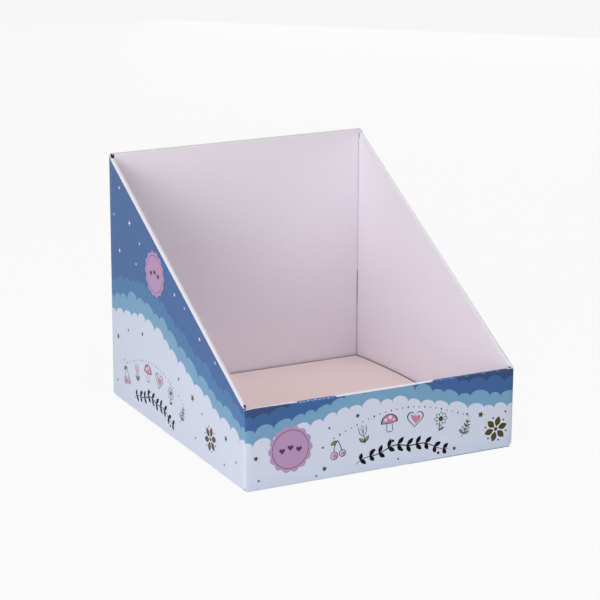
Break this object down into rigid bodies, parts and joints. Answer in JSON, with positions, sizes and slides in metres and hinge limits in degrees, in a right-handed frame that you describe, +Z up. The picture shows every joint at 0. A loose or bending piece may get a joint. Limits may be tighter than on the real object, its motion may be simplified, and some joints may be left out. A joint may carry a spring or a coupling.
{
  "type": "counter display box",
  "caption": "Open-topped folded board display box with sloped sides, a low front, a high back and a loose floor pad.",
  "frame": {"origin": "middle of the base, on the surface that the box stands on", "axes": "+Z up, low front towards -Y, high back towards +Y, +X to the right seen from the front"},
  "size_m": [0.3, 0.33, 0.2672],
  "materials": {
    "printed_board": "matt printed paper over micro-flute board",
    "plain_board": "uncoated pinkish white liner"
  },
  "bodies": {
    "root": {"folded_body": "printed_board", "floor_pad": "plain_board"}
  },
  "joints": []
}
